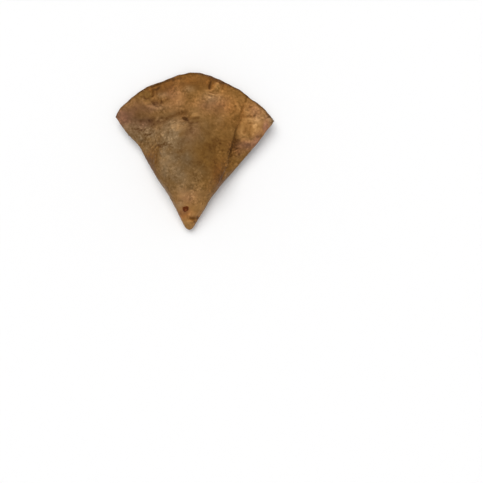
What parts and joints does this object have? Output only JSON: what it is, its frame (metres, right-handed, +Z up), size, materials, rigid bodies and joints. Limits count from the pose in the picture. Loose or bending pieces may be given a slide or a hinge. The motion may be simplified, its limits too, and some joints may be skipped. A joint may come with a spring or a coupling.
{
  "type": "samosa",
  "caption": "Large fried samosa: a filled cone of folded dough, lying flat with its overlapping front flap up and a layered, curved brim.",
  "frame": {"origin": "middle of the bounding box in plan, at the flat underside that the samosa lies on", "axes": "+Z up out of the folded front; the blunt point of the cone faces -Y and the curved brim +Y; the front flap's cut edge is on the +X side"},
  "size_m": [0.1426, 0.1416, 0.0364],
  "materials": {
    "crust": "deep-fried wheat dough: mottled golden to dark brown, blistered and lightly oily",
    "red_pepper": "small fleck of fried red pepper, dark red with a paler middle"
  },
  "bodies": {
    "root": {"samosa": "crust"}
  },
  "joints": []
}
